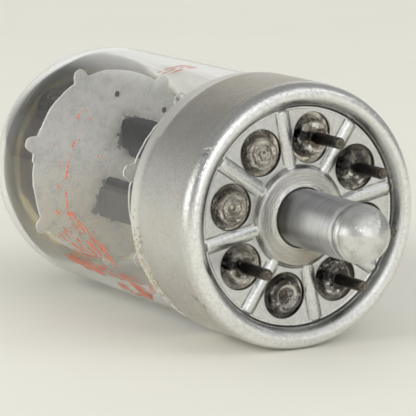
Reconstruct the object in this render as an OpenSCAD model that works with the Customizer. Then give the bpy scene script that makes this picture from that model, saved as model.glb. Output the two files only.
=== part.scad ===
// Full-wave vacuum rectifier tube with a metal lock-in base, lying on its side.
// Inside the place() frame the tube's axis is z: z = 0 is the flat floor of the base,
// +z runs out along the contact pins and -z runs into the glass bulb.
// Lying down, the axis is along Y with the pins towards -Y and the shell touches z = 0.

/* [Base shell] */
// Outer diameter of the shell's side
shell_d = 29.3; // [28.6:0.1:30.2]
// Outer diameter of the open lip around the glass
lip_d = 28.8; // [28.4:0.1:29.2]
// Thickness of the sheet
sheet = 0.45; // [0.35:0.05:0.5]
// Depth of the side, from the floor back to the lip's edge
shell_len = 11.5; // [10:0.1:13]
// Length of the narrowing lip
lip_len = 2.5; // [1.5:0.1:3]
// Height of the rim's crest above the floor
rim_h = 1.26; // [0.9:0.02:1.6]
// Diameter of the flat floor inside the rim
floor_d = 24.2; // [23.6:0.1:24.8]
// Width of each pressed rib
rib_w = 1.38; // [1:0.02:1.6]
// Height of each pressed rib
rib_h = 0.4; // [0.2:0.05:0.5]
// Height of the raised hub
hub_h = 0.9; // [0.6:0.05:1.2]
// Diameter of the hub where it leaves the floor
hub_d = 11.3; // [10.8:0.1:11.6]
// Diameter of a round window
window_d = 5; // [4.6:0.1:5.2]
// Width of the slotted window
slot_w = 4.5; // [4.3:0.1:4.8]
// Radial length of the slotted window
slot_l = 5.55; // [5:0.05:5.7]

/* [Contacts] */
// Diameter of the circle that the pins stand on
pin_circle = 17.45; // [17:0.05:18]
// Diameter of a contact pin
pin_d = 1.27; // [1.2:0.01:1.35]
// Height of the pin tips above the floor
pin_tip = 5.52; // [5:0.05:6.4]
// Turn of contact 6 from straight up, clockwise seen from the pins
pin6_turn = 11.6; // [0:0.1:40]

/* [Locating plug] */
// Diameter of the plug
plug_d = 6.35; // [6.2:0.01:6.5]
// Height of the plug's tip above the floor
plug_tip = 15.15; // [14:0.05:15.4]
// Height of the lock groove above the floor
groove_z = 11.3; // [10.8:0.05:11.6]
// Radial reach of the key from the axis
key_r = 4.15; // [3.8:0.05:4.4]
// Width of the key
key_w = 1.7; // [1.4:0.05:2]

/* [Glass] */
// Outer diameter of the bulb
bulb_d = 28; // [27.6:0.1:28.2]
// Thickness of the bulb's wall
bulb_wall = 0.7; // [0.5:0.05:1.2]
// Distance from the floor back to where the dome starts
dome_start = 40.8; // [38:0.1:43]
// Length of the dome
dome_len = 13.7; // [12.5:0.1:14]
// Thickness of the pressed header
header_t = 2.4; // [2:0.1:3]

/* [Electrodes] */
// Distance from the floor back to the far mica
mica_top = 40; // [39.6:0.1:40.4]
// Distance from the floor back to the near mica
mica_bot = 16.6; // [16:0.1:18]
// Diameter of a mica
mica_d = 22.7; // [22:0.1:24]
// Thickness of a mica
mica_t = 0.3; // [0.2:0.05:0.4]
// Reach of the mica's teeth from its centre
tooth_r = 12.5; // [12.2:0.05:13.2]
// Distance from the middle to each plate's centre
plate_x = 4.28; // [4:0.02:4.5]
// Turn of the electrode assembly about the axis
asm_turn = -21.8; // [-26:0.1:-15]

/* [Hidden] */
$fn = 96;
R = shell_d / 2;
RL = lip_d / 2;
RB = bulb_d / 2;
RI = RB - bulb_wall;
RP = pin_circle / 2;
rp = pin_d / 2;
rf = floor_d / 2;
crest_r = 13.42;             // radius at which the rim is highest
bead = 1.7;                  // radius of the rim's outer rounding
hd_hi = -1.0;                // header's outer face
hd_lo = hd_hi - header_t;    // header's inner face
boss_top = 0.75;             // top of each glass boss
mid = (plug_tip - dome_start - dome_len) / 2;   // middle of the length
zt = -mica_top;
zb = -mica_bot;
rod_x = 2.3;                 // inner support rod from its plate's centre
rod_in = 1.3;                // outer support rod, inside the box against its end wall
rod_r = 0.35;
lead_r = 0.3;
pin_in = -5.6;               // inner end of the pins
seal_r = 0.45;               // radius of a pin inside the glass
rod_end = zb - mica_t / 2 + 1.5;  // near end of the plate rods

// lays the tube's own frame down: z to -Y, x up
module place() { translate([0, mid, R]) rotate([90, 0, 0]) rotate([0, 0, 90]) children(); }
// one of the eight contact positions, k = 0 at contact 6, clockwise seen from the pins
module at_pin(k) { rotate([0, 0, -(pin6_turn + 45 * k)]) translate([RP, 0, 0]) children(); }
function pin_pt(k) = [RP * cos(pin6_turn + 45 * k), -RP * sin(pin6_turn + 45 * k)];
// electrode assembly's own frame inside the bulb, a little off the axis
ax = -0.325; ay = -0.79;
module asm() { translate([ax, ay, 0]) rotate([0, 0, asm_turn]) children(); }
function asm_pt(x, y) = [ax + x * cos(asm_turn) - y * sin(asm_turn), ay + x * sin(asm_turn) + y * cos(asm_turn)];
// centre of plate s (1 or -1) and of its support rod u (1 or -1); u = s is the outer one
function plate_pt(s) = asm_pt(s * plate_x, 0);
function rod_pt(s, u) = plate_pt(s) + [u * (u == s ? rod_in : rod_x), 0];
// where the cathode lead meets its tie
tie_tab = [3.2, -0.95];
// quarter-round points from (r0, z0) to (r1, z1) with semi-axes a and b
function arc(cx, cz, a, b, t0, t1, n) = [for (i = [0:n]) let (t = t0 + (t1 - t0) * i / n) [cx + a * cos(t), cz + b * sin(t)]];

// straight lengths of wire with a slightly larger ball at each bend and flat ends
module wire(p, r) {
    for (i = [0:len(p) - 2]) let (v = p[i + 1] - p[i], l = norm(v))
        translate(p[i]) rotate([0, acos(v[2] / l), atan2(v[1], v[0])]) cylinder(r = r, h = l, $fn = 24);
    if (len(p) > 2) for (i = [1:len(p) - 2]) translate(p[i]) sphere(r = r + 0.06, $fn = 24);
}

module base_shell() color([0.76, 0.76, 0.74]) place() {
    o = concat([[plug_d / 2, hub_h - 0.12], [3.45, hub_h]], [[4.1, hub_h - 0.1], [4.8, hub_h - 0.32], [5.3, 0.4], [hub_d / 2, 0]],
        [[rf - 0.3, 0], [rf - 0.22, 0.08], [rf, 0.14]],
        arc(crest_r, 0.14, crest_r - rf, rim_h - 0.14, 180, 90, 8),
        arc(crest_r, rim_h - bead, R - crest_r, bead, 90, 0, 12),
        [[R, -(shell_len - lip_len)], [RL, -shell_len]]);
    i = concat([[RL - 0.38, -shell_len], [R - sheet, -(shell_len - lip_len)]],
        arc(crest_r, rim_h - bead, R - crest_r - sheet, bead - sheet, 0, 90, 12),
        arc(crest_r, 0.14, crest_r - rf - sheet, rim_h - 0.14 - sheet, 90, 180, 6),
        [[rf + sheet, -sheet], [hub_d / 2 - 0.3, -sheet], [5, 0.02], [4.5, 0.3], [plug_d / 2, 0.3]]);
    difference() {
        union() {
            rotate_extrude() polygon(concat(o, i));
            intersection() {
                for (k = [0:7]) rotate([0, 0, -(pin6_turn + 22.5 + 45 * k)])
                    translate([4.9, 0, -(rib_w * rib_w / 4 - rib_h * rib_h) / (2 * rib_h)]) rotate([0, 90, 0])
                        cylinder(r = (rib_w * rib_w / 4 + rib_h * rib_h) / (2 * rib_h), h = 8);
                difference() { translate([0, 0, -0.2]) cylinder(r = rf + 0.12, h = 1); translate([0, 0, -1]) cylinder(r = 5, h = 3); }
            }
        }
        for (k = [1:7]) at_pin(k) translate([0, 0, -2]) cylinder(d = window_d, h = 4);
        at_pin(0) for (s = [-1, 1]) translate([s * (slot_l - slot_w) / 2 - 0.1, 0.17, -2]) cylinder(d = slot_w, h = 4);
        at_pin(0) translate([-(slot_l - slot_w) / 2 - 0.1, 0.17 - slot_w / 2, -2]) cube([slot_l - slot_w, slot_w, 4]);
    }
}

module locating_plug() color([0.7, 0.7, 0.69]) place() {
    r = plug_d / 2;
    zc = 12.0;   // start of the rounded end
    o = concat([[4.3, -0.15], [4.3, 0.3], [r, 0.3], [r, groove_z - 0.28], [r - 0.22, groove_z], [r, groove_z + 0.18], [r, zc]],
        arc(0, zc, r, plug_tip - zc, 0, 90, 20));
    i = concat(arc(0, zc, 2.65, plug_tip - zc - 0.5, 90, 0, 12), [[2.65, -0.15]]);
    union() {
        rotate_extrude() polygon(concat(o, i));
        rotate([0, 0, -(pin6_turn + 112.5)]) translate([r - 0.3, -key_w / 2, hub_h + 0.1])
            cube([key_r - r + 0.3, key_w, groove_z - 0.6 - hub_h - 0.1]);
    }
}

module base_cement() color([0.62, 0.58, 0.48]) place()
    rotate_extrude() polygon([[RB, -4], [R - sheet, -4], [R - sheet, -8.8], [RB, -8.8]]);

module glass_bulb() color([0.8, 0.86, 0.84, 0.35]) place()
    rotate_extrude() polygon(concat([[RI, hd_lo], [RB, hd_lo]],
        arc(0, -dome_start, RB, dome_len, 0, -90, 24),
        arc(0, -dome_start, RI, dome_len - bulb_wall, -90, 0, 24)));

module glass_header() color([0.45, 0.4, 0.34, 0.6]) place() difference() {
    union() {
        translate([0, 0, hd_lo]) cylinder(r = RB, h = header_t);
        for (k = [0:7]) at_pin(k) {
            translate([0, 0, hd_hi - 0.2]) cylinder(r1 = 2.15, r2 = 1.7, h = 0.5 - hd_hi + 0.2);
            translate([0, 0, 0.5]) cylinder(r1 = 1.7, r2 = 1.35, h = boss_top - 0.5);
        }
        translate([0, 0, hd_hi - 0.2]) cylinder(r = 2.1, h = 6);
        translate([0, 0, hd_hi + 5.8]) cylinder(r1 = 2.1, r2 = 0.7, h = 3);
        translate([0, 0, hd_hi + 8.8]) sphere(r = 0.7);
    }
    for (k = [0, 1, 2, 3, 5]) at_pin(k) translate([0, 0, pin_in - 1]) cylinder(r = seal_r, h = 10);
    for (k = [4, 6, 7]) at_pin(k) translate([0, 0, boss_top + 0.55]) sphere(r = 0.95);
    translate([0, 0, hd_lo - 1]) cylinder(r = 0.9, h = 8);
}

// contact pin: free part at full size, thinner where it is sealed into the glass
module pin(k) color([0.3, 0.28, 0.25]) place() at_pin(k) {
    translate([0, 0, pin_in]) cylinder(r = seal_r, h = boss_top - pin_in);
    translate([0, 0, boss_top]) cylinder(r = rp, h = pin_tip - 0.25 - boss_top);
    translate([0, 0, pin_tip - 0.25]) cylinder(r1 = rp, r2 = rp - 0.22, h = 0.25);
}
module pin_1() pin(3);
module pin_3() pin(5);
module pin_6() pin(0);
module pin_7() pin(1);
module pin_8() pin(2);

// mica disc on the tube's axis, with teeth that reach the glass; holes follow the assembly
module mica(z, extra) color([0.8, 0.8, 0.77]) place() difference() {
    union() {
        translate([0, 0, z - mica_t / 2]) cylinder(d = mica_d, h = mica_t);
        for (a = [122.6, 73.2, 24, -28.3, -80.6, -132.9, -185.1]) rotate([0, 0, a]) translate([0, 0, z - mica_t / 2]) linear_extrude(mica_t)
            polygon([[10.6, -1.35], [11.6, -1.0], [12.2, -0.85], [tooth_r - 0.28, -0.66], [tooth_r - 0.08, -0.4], [tooth_r, -0.1],
                     [tooth_r, 0.1], [tooth_r - 0.08, 0.4], [tooth_r - 0.28, 0.66], [12.2, 0.85], [11.6, 1.0], [10.6, 1.35]]);
    }
    for (s = [-1, 1]) {
        translate([plate_pt(s)[0], plate_pt(s)[1], z - 1]) cylinder(r = 0.8, h = 2, $fn = 48);
        for (u = [-1, 1]) translate([rod_pt(s, u)[0], rod_pt(s, u)[1], z - 1]) cylinder(r = rod_r, h = 2, $fn = 32);
    }
    for (p = extra) translate([p[0], p[1], z - 1]) cylinder(r = p[2], h = 2, $fn = 32);
}
module top_mica() mica(zt, [[8.44, -0.27, 0.4], [6.2, -6.76, 0.4]]);
module bottom_mica() mica(zb, [[8.44, -0.27, 0.4]]);

// plate: box sleeve, open at both ends, with one crimped seam that grips a support rod; the other rod runs inside
module plate(s) color([0.12, 0.12, 0.12]) place() translate([plate_pt(s)[0], plate_pt(s)[1], zt + mica_t / 2]) {
    h = mica_top - mica_bot - mica_t;
    difference() {
        union() {
            translate([-1.85, -1.6, 0]) cube([3.7, 3.2, h]);
            translate([-s * rod_x, 0, 0]) cylinder(r = 0.6, h = h);
            for (z = [0.22 * h, 0.5 * h, 0.78 * h], u = [-1, 1]) translate([-1.4, u * 1.55 - 0.2, z - 0.3]) cube([2.8, 0.4, 0.6]);
        }
        translate([-1.65, -1.4, -1]) cube([3.3, 2.8, h + 2]);
        translate([-s * rod_x, 0, -1]) cylinder(r = rod_r, h = h + 2, $fn = 32);
    }
}
module plate_1() plate(1);
module plate_2() plate(-1);

module rod(s, u) color([0.62, 0.62, 0.6]) place()
    translate([rod_pt(s, u)[0], rod_pt(s, u)[1], zt - mica_t / 2 - 1.2]) cylinder(r = rod_r, h = rod_end - (zt - mica_t / 2 - 1.2), $fn = 32);
module plate_rod_1() rod(1, 1);
module plate_rod_2() rod(1, -1);
module plate_rod_3() rod(-1, 1);
module plate_rod_4() rod(-1, -1);

module sleeve(s) color([0.85, 0.84, 0.8]) place() asm() translate([s * plate_x, 0, zt - 1.5]) difference() {
    h = mica_top - mica_bot + 2.4;
    cylinder(r = 0.8, h = h, $fn = 48);
    translate([0, 0, -1]) cylinder(r = 0.62, h = h + 2, $fn = 48);
}
module cathode_sleeve_1() sleeve(1);
module cathode_sleeve_2() sleeve(-1);

// heater: one folded wire, its legs side by side in the sleeve
heat_end = zb + 2.6;
module heater(s) color([0.93, 0.93, 0.9]) place() asm() translate([s * plate_x, 0, zt]) {
    for (u = [-1, 1]) translate([u * 0.28, 0, 0]) cylinder(r = 0.2, h = heat_end - zt, $fn = 24);
    rotate([-90, 0, 0]) rotate_extrude(angle = 180, $fn = 48) translate([0.28, 0]) circle(r = 0.2, $fn = 24);
}
module heater_1() heater(1);
module heater_2() heater(-1);

// strap over the near ends of both sleeves, with a hole for each heater
module cathode_tie() color([0.66, 0.66, 0.64]) place() asm() translate([0, 0, zb + 0.9]) difference() {
    union() {
        translate([-plate_x, -0.4, 0]) cube([2 * plate_x, 0.8, 0.2]);
        translate([tie_tab[0] - 0.35, tie_tab[1] - 0.35, 0]) cube([0.7, 1, 0.2]);
        for (s = [-1, 1]) translate([s * plate_x, 0, 0]) cylinder(r = 0.85, h = 0.2, $fn = 48);
    }
    for (s = [-1, 1]) translate([s * plate_x, 0, -1]) cylinder(r = 0.62, h = 3, $fn = 48);
}

// flat link between the inner legs of both heaters
module heater_link() color([0.7, 0.7, 0.68]) place() asm()
    translate([-plate_x + 0.08, -0.3, heat_end]) cube([2 * plate_x - 0.16, 0.6, 0.2]);

module lead(k, q, z1, z2) color([0.62, 0.62, 0.6]) place() {
    p = pin_pt(k);
    wire([[p[0], p[1], pin_in], [p[0], p[1], pin_in - 1.4], [q[0], q[1], z1], [q[0], q[1], z2]], lead_r);
}
module lead_plate_1() lead(0, rod_pt(1, 1), rod_end + 2.4, rod_end);
module lead_plate_2() lead(5, rod_pt(-1, -1), rod_end + 2.4, rod_end);
module lead_cathode() lead(1, asm_pt(tie_tab[0], tie_tab[1]), zb + 3.6, zb + 1.1);
module lead_heater_a() lead(2, asm_pt(plate_x + 0.28, 0), heat_end + 3.2, heat_end);
module lead_heater_b() lead(3, asm_pt(-plate_x - 0.28, 0), heat_end + 3.2, heat_end);

// getter: a wire post on the back of the far mica with a channel ring on its end
gp = [8, 6.6];
module getter_post() color([0.6, 0.6, 0.58]) place()
    translate([gp[0], gp[1], zt - 4.2]) cylinder(r = 0.3, h = 4.2 - mica_t / 2, $fn = 24);
module getter_ring() color([0.25, 0.24, 0.23]) place() translate([gp[0] - 1.7, gp[1] - 1.45, zt - 4.2])
    rotate_extrude() polygon([[1.7, 0], [2.7, 0], [2.7, -0.8], [2.4, -0.8], [2.4, -0.25], [2.0, -0.25], [2.0, -0.8], [1.7, -0.8]]);

base_shell();
locating_plug();
base_cement();
glass_bulb();
glass_header();
pin_1();
pin_3();
pin_6();
pin_7();
pin_8();
top_mica();
bottom_mica();
plate_1();
plate_2();
plate_rod_1();
plate_rod_2();
plate_rod_3();
plate_rod_4();
cathode_sleeve_1();
cathode_sleeve_2();
heater_1();
heater_2();
cathode_tie();
heater_link();
lead_plate_1();
lead_plate_2();
lead_cathode();
lead_heater_a();
lead_heater_b();
getter_post();
getter_ring();
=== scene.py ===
import bpy, bmesh, math
import numpy as np
from mathutils import Matrix, Vector


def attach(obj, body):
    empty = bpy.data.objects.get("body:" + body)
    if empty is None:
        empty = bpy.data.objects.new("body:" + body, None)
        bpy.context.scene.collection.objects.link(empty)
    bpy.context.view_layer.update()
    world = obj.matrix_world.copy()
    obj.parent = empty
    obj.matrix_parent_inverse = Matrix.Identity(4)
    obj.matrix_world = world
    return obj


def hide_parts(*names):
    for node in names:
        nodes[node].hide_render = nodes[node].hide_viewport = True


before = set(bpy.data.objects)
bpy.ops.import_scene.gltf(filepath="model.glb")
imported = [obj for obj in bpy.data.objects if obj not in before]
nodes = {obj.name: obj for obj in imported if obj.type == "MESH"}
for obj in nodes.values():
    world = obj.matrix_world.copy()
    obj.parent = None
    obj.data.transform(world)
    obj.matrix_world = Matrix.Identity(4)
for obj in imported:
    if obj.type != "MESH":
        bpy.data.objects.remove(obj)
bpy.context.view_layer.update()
rng = np.random.default_rng(7)

# ---------------------------------------------------------------- frame
# The tube's own frame, in mm: z = 0 at the flat floor of the base, +z out along the pins,
# x up when it lies down. row() takes it to the row's frame, in metres.
R0, MID = 14.65, -19.675
PIN6, RP = 11.6, 8.725
PINS = {"pin_6": 0, "pin_7": 1, "pin_8": 2, "pin_1": 3, "pin_3": 5}
BLANKS = [4, 6, 7]
AX, AY, TURN = -0.325, -0.79, math.radians(-21.8)
PX, RX = 4.28, 2.3


def row(p):
    p = np.asarray(p, float).reshape(-1, 3)
    return np.stack([-p[:, 1], MID - p[:, 2], R0 + p[:, 0]], 1) * 0.001


def pin_angle(k):
    return math.radians(-(PIN6 + 45 * k))


def turned(v, a):
    c, s = math.cos(a), math.sin(a)
    v = np.asarray(v, float)
    return np.stack([v[:, 0] * c - v[:, 1] * s, v[:, 0] * s + v[:, 1] * c, v[:, 2]], 1)


def smax(a, b, k):
    h = np.clip(0.5 + 0.5 * (a - b) / k, 0, 1)
    return b * (1 - h) + a * h + k * h * (1 - h)


def sstep(a, b, x):
    t = np.clip((x - a) / (b - a), 0, 1)
    return t * t * (3 - 2 * t)


def value_noise(p, seed=0):
    """smooth 3-D value noise in -1..1 at points p"""
    p = np.asarray(p, float)
    i = np.floor(p).astype(np.int64)
    f = p - i
    f = f * f * (3 - 2 * f)
    out = np.zeros(len(p))
    for dx in (0, 1):
        for dy in (0, 1):
            for dz in (0, 1):
                h = (i[:, 0] + dx) * 73856093 ^ (i[:, 1] + dy) * 19349663 ^ (i[:, 2] + dz) * 83492791 ^ (seed * 2654435761)
                h = (h ^ (h >> 13)) * 1274126177 & 0x7FFFFFFF
                h = (h ^ (h >> 16)) & 0xFFFF
                w = (f[:, 0] if dx else 1 - f[:, 0]) * (f[:, 1] if dy else 1 - f[:, 1]) * (f[:, 2] if dz else 1 - f[:, 2])
                out += w * (h / 32767.5 - 1)
    return out


def fbm(p, octaves=4, seed=0):
    p = np.asarray(p, float)
    return sum(value_noise(p * 2 ** o + 17.3 * o, seed + o) / 2 ** o for o in range(octaves))


# ---------------------------------------------------------------- meshes in mm
def rings_mesh(rings, closed):
    """rings: list of (m, 3) arrays with the same m, or (1, 3) for a pole. Quads between neighbours."""
    verts, starts = [], []
    for r in rings:
        starts.append((len(verts), len(r)))
        verts.extend(map(tuple, r))
    faces = []
    pairs = list(zip(starts, starts[1:])) + ([(starts[-1], starts[0])] if closed else [])
    for (a, na), (b, nb) in pairs:
        n = max(na, nb)
        for i in range(n):
            j = (i + 1) % n
            q = [a + (i if na > 1 else 0), a + (j if na > 1 else 0), b + (j if nb > 1 else 0), b + (i if nb > 1 else 0)]
            q = [v for k, v in enumerate(q) if v != q[k - 1]]
            if len(q) >= 3:
                faces.append(q)
    return verts, faces


def lathe(prof, n=96, t0=0.0, stretch=0.0):
    """prof: (r, z) points. stretch pulls the circle into a slot of that half length along x."""
    t = t0 + np.arange(n) * 2 * math.pi / n
    off = np.where(np.cos(t) > 1e-9, 1, np.where(np.cos(t) < -1e-9, -1, 0)) * stretch
    rings = []
    for r, z in prof:
        if r < 1e-6 and stretch == 0:
            rings.append(np.array([[0, 0, z]]))
        else:
            rings.append(np.stack([r * np.cos(t) + off, r * np.sin(t), np.full(n, z)], 1))
    first, last = len(rings[0]) == 1, len(rings[-1]) == 1
    return rings_mesh(rings, closed=not (first and last))


def solid(prof, n=96, stretch=0.0):
    """closed lathe from an open profile whose ends get flat or pole caps"""
    prof = list(prof)
    if prof[0][0] > 1e-6:
        prof = [(0.0, prof[0][1])] + prof
    if prof[-1][0] > 1e-6:
        prof = prof + [(0.0, prof[-1][1])]
    if stretch:
        v, f = lathe([p for p in prof if p[0] > 1e-6], n, math.pi / n, stretch)
        f = [q for q in f if max(q) - min(q) < 2 * n + 1 and not (min(q) < n and max(q) >= len(v) - n)]
        f += [list(range(n)), list(range(len(v) - 1, len(v) - n - 1, -1))]
        return v, f
    return lathe(prof, n)


def arc(cx, cz, a, b, t0, t1, n):
    t = np.radians(np.linspace(t0, t1, n + 1))
    return [(cx + a * math.cos(x), cz + b * math.sin(x)) for x in t]


def spline(pts, step):
    """Catmull-Rom through 2-D or 3-D points"""
    p = np.array(pts, float)
    q = np.vstack([2 * p[0] - p[1], p, 2 * p[-1] - p[-2]])
    out = []
    for i in range(1, len(q) - 2):
        n = max(1, int(round(np.linalg.norm(q[i + 1] - q[i]) / step)))
        for k in range(n):
            t = k / n
            out.append(0.5 * (2 * q[i] + (q[i + 1] - q[i - 1]) * t + (2 * q[i - 1] - 5 * q[i] + 4 * q[i + 1] - q[i + 2]) * t * t
                              + (3 * q[i] - q[i - 1] - 3 * q[i + 1] + q[i + 2]) * t ** 3))
    out.append(p[-1])
    return np.array(out)


def sweep(path, r, n=14, radii=None):
    """round wire along 3-D points, with slightly rounded ends"""
    p = np.array(path, float)
    d = np.gradient(p, axis=0)
    d /= np.linalg.norm(d, axis=1)[:, None]
    u = np.cross(d[0], [0.3, 1, 0.2])
    rings = []
    t = np.arange(n) * 2 * math.pi / n
    for i in range(len(p)):
        u = u - d[i] * (u @ d[i])
        u /= np.linalg.norm(u)
        w = np.cross(d[i], u)
        ri = r if radii is None else radii[i]
        rings.append(p[i] + ri * (np.cos(t)[:, None] * u + np.sin(t)[:, None] * w))
    rings = [p[:1] + 0, (rings[0] - p[0]) * 0.8 + p[0] + d[0] * 0.0] + [rings[0] + d[0] * r * 0.2] + rings[1:-1] \
        + [rings[-1] - d[-1] * r * 0.2, (rings[-1] - p[-1]) * 0.8 + p[-1], p[-1:] + 0]
    return rings_mesh(rings, closed=False)


def join(*parts):
    v, f = [], []
    for pv, pf in parts:
        k = len(v)
        v += [tuple(x) for x in pv]
        f += [[i + k for i in q] for q in pf]
    return v, f


def raw(name, vf):
    me = bpy.data.meshes.new(name)
    me.from_pydata([tuple(float(c) for c in v) for v in vf[0]], [], vf[1])
    bm = bmesh.new()
    bm.from_mesh(me)
    bmesh.ops.recalc_face_normals(bm, faces=bm.faces)
    bm.to_mesh(me)
    bm.free()
    ob = bpy.data.objects.new(name, me)
    bpy.context.scene.collection.objects.link(ob)
    return ob


def boolean(ob, other, op):
    """ob op other, both still in mm; other is used up"""
    m = ob.modifiers.new("cut", "BOOLEAN")
    m.object, m.operation, m.solver = other, op, "EXACT"
    dg = bpy.context.evaluated_depsgraph_get()
    me = bpy.data.meshes.new_from_object(ob.evaluated_get(dg))
    ob.modifiers.clear()
    ob.data = me
    bpy.data.objects.remove(other)
    return ob


def tidy(ob):
    """triangles only, with the zero-area ones of the boolean taken out"""
    bm = bmesh.new()
    bm.from_mesh(ob.data)
    bmesh.ops.triangulate(bm, faces=bm.faces[:])
    for _ in range(3):
        bmesh.ops.dissolve_degenerate(bm, dist=3e-4, edges=bm.edges[:])
        bmesh.ops.triangulate(bm, faces=[f for f in bm.faces if len(f.verts) > 3])
    bmesh.ops.recalc_face_normals(bm, faces=bm.faces[:])
    bm.to_mesh(ob.data)
    bm.free()
    ob.data.update()
    return ob


def verts_of(ob):
    a = np.empty(len(ob.data.vertices) * 3)
    ob.data.vertices.foreach_get("co", a)
    return a.reshape(-1, 3)


def attribute(ob, name, values):
    at = ob.data.attributes.new(name, "FLOAT", "POINT")
    at.data.foreach_set("value", np.asarray(values, np.float32))


def settle(ob, material, stands_for=(), sharp=38):
    """mm mesh to the row's frame, finish, and ride"""
    ob.data.vertices.foreach_set("co", row(verts_of(ob)).ravel())
    ob.data.update()
    ob.data.shade_smooth()
    ob.data.set_sharp_from_angle(angle=math.radians(sharp))
    ob.data.materials.clear()
    ob.data.materials.append(material)
    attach(ob, "root")
    if stands_for:
        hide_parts(*stands_for)
    return ob


def piece(name, vf, material, stands_for=(), sharp=38):
    return settle(raw(name, vf), material, stands_for, sharp)


# ---------------------------------------------------------------- materials
class Mat:
    def __init__(self, name):
        self.m = bpy.data.materials.new(name)
        self.m.use_nodes = True
        self.nt = self.m.node_tree
        self.b = self.nt.nodes["Principled BSDF"]
        self._mm = None
        self._polar = None

    def node(self, kind, **kw):
        n = self.nt.nodes.new(kind)
        for k, v in kw.items():
            setattr(n, k, v)
        return n

    def link(self, a, b):
        self.nt.links.new(a, b)

    def put(self, sock, v):
        if isinstance(v, bpy.types.NodeSocket):
            self.link(v, sock)
        else:
            sock.default_value = v

    def mm(self):
        """object coordinates in mm"""
        if self._mm is None:
            t = self.node("ShaderNodeTexCoord")
            s = self.node("ShaderNodeVectorMath", operation="SCALE")
            self.link(t.outputs["Object"], s.inputs[0])
            s.inputs["Scale"].default_value = 1000.0
            self._mm = s.outputs[0]
        return self._mm

    def math(self, op, a, b=None, clamp=False):
        n = self.node("ShaderNodeMath", operation=op, use_clamp=clamp)
        self.put(n.inputs[0], a)
        if b is not None:
            self.put(n.inputs[1], b)
        return n.outputs[0]

    def polar(self):
        """radius, angle and height in the tube's own frame, in mm and radians"""
        if self._polar is None:
            s = self.node("ShaderNodeSeparateXYZ")
            self.link(self.mm(), s.inputs[0])
            x = self.math("SUBTRACT", s.outputs[2], R0)
            y = self.math("MULTIPLY", s.outputs[0], -1.0)
            z = self.math("SUBTRACT", MID, s.outputs[1])
            r = self.math("SQRT", self.math("ADD", self.math("MULTIPLY", x, x), self.math("MULTIPLY", y, y)))
            t = self.math("ARCTAN2", y, x)
            self._polar = (r, t, z)
        return self._polar

    def polar_vec(self, kr, kt, kz):
        """a vector for streaks: cos and sin of the angle keep it free of a seam"""
        r, t, z = self.polar()
        c = self.node("ShaderNodeCombineXYZ")
        self.link(self.math("ADD", self.math("MULTIPLY", r, kr), self.math("MULTIPLY", self.math("COSINE", t), kt)), c.inputs[0])
        self.link(self.math("ADD", self.math("MULTIPLY", z, kz), self.math("MULTIPLY", self.math("SINE", t), kt)), c.inputs[1])
        self.link(self.math("MULTIPLY", r, kr * 0.7), c.inputs[2])
        return c.outputs[0]

    def noise(self, scale, detail=3.0, rough=0.55, vec=None, distortion=0.0):
        n = self.node("ShaderNodeTexNoise")
        self.link(vec if vec is not None else self.mm(), n.inputs["Vector"])
        n.inputs["Scale"].default_value = scale
        n.inputs["Detail"].default_value = detail
        n.inputs["Roughness"].default_value = rough
        n.inputs["Distortion"].default_value = distortion
        return n.outputs["Fac"]

    def voronoi(self, scale, feature="F1", out="Distance", vec=None, rand=1.0):
        n = self.node("ShaderNodeTexVoronoi", feature=feature)
        self.link(vec if vec is not None else self.mm(), n.inputs["Vector"])
        n.inputs["Scale"].default_value = scale
        n.inputs["Randomness"].default_value = rand
        return n.outputs[out]

    def remap(self, v, a, b, c, d):
        n = self.node("ShaderNodeMapRange")
        self.put(n.inputs["Value"], v)
        for s, x in zip(("From Min", "From Max", "To Min", "To Max"), (a, b, c, d)):
            n.inputs[s].default_value = x
        return n.outputs["Result"]

    def attr(self, name):
        n = self.node("ShaderNodeAttribute", attribute_name=name)
        return n.outputs["Fac"]

    def mix(self, fac, a, b, blend="MIX"):
        n = self.node("ShaderNodeMix", data_type="RGBA", blend_type=blend)
        self.put(n.inputs["Factor"], fac)
        for s, v in ((n.inputs[6], a), (n.inputs[7], b)):
            if isinstance(v, bpy.types.NodeSocket):
                self.link(v, s)
            else:
                s.default_value = (*v, 1.0) if len(v) == 3 else v
        return n.outputs[2]

    def bump(self, height, strength, distance, under=None):
        """distance is in mm"""
        n = self.node("ShaderNodeBump")
        n.inputs["Strength"].default_value = strength
        n.inputs["Distance"].default_value = distance * 0.001
        self.link(height, n.inputs["Height"])
        if under is not None:
            self.link(under, n.inputs["Normal"])
        return n.outputs["Normal"]

    def near(self, p, inner, outer):
        """1 within inner mm of the tube-frame point p, 0 beyond outer mm"""
        d = self.node("ShaderNodeVectorMath", operation="DISTANCE")
        self.link(self.mm(), d.inputs[0])
        d.inputs[1].default_value = tuple(row([p])[0] * 1000)
        return self.remap(d.outputs["Value"], inner, outer, 1.0, 0.0)

    def set(self, color=None, metallic=None, roughness=None, normal=None, alpha=None, **kw):
        def rgb(v):
            return (*v, 1.0) if isinstance(v, (tuple, list)) and len(v) == 3 else v
        for name, v in (("Base Color", rgb(color)), ("Metallic", metallic), ("Roughness", roughness), ("Normal", normal), ("Alpha", alpha)):
            if v is not None:
                self.put(self.b.inputs[name], v)
        for name, v in kw.items():
            self.b.inputs[name.replace("_", " ")].default_value = v
        return self.m


def on_tube(r, deg, z):
    a = math.radians(deg)
    return (r * math.cos(a), r * math.sin(a), z)


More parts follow.
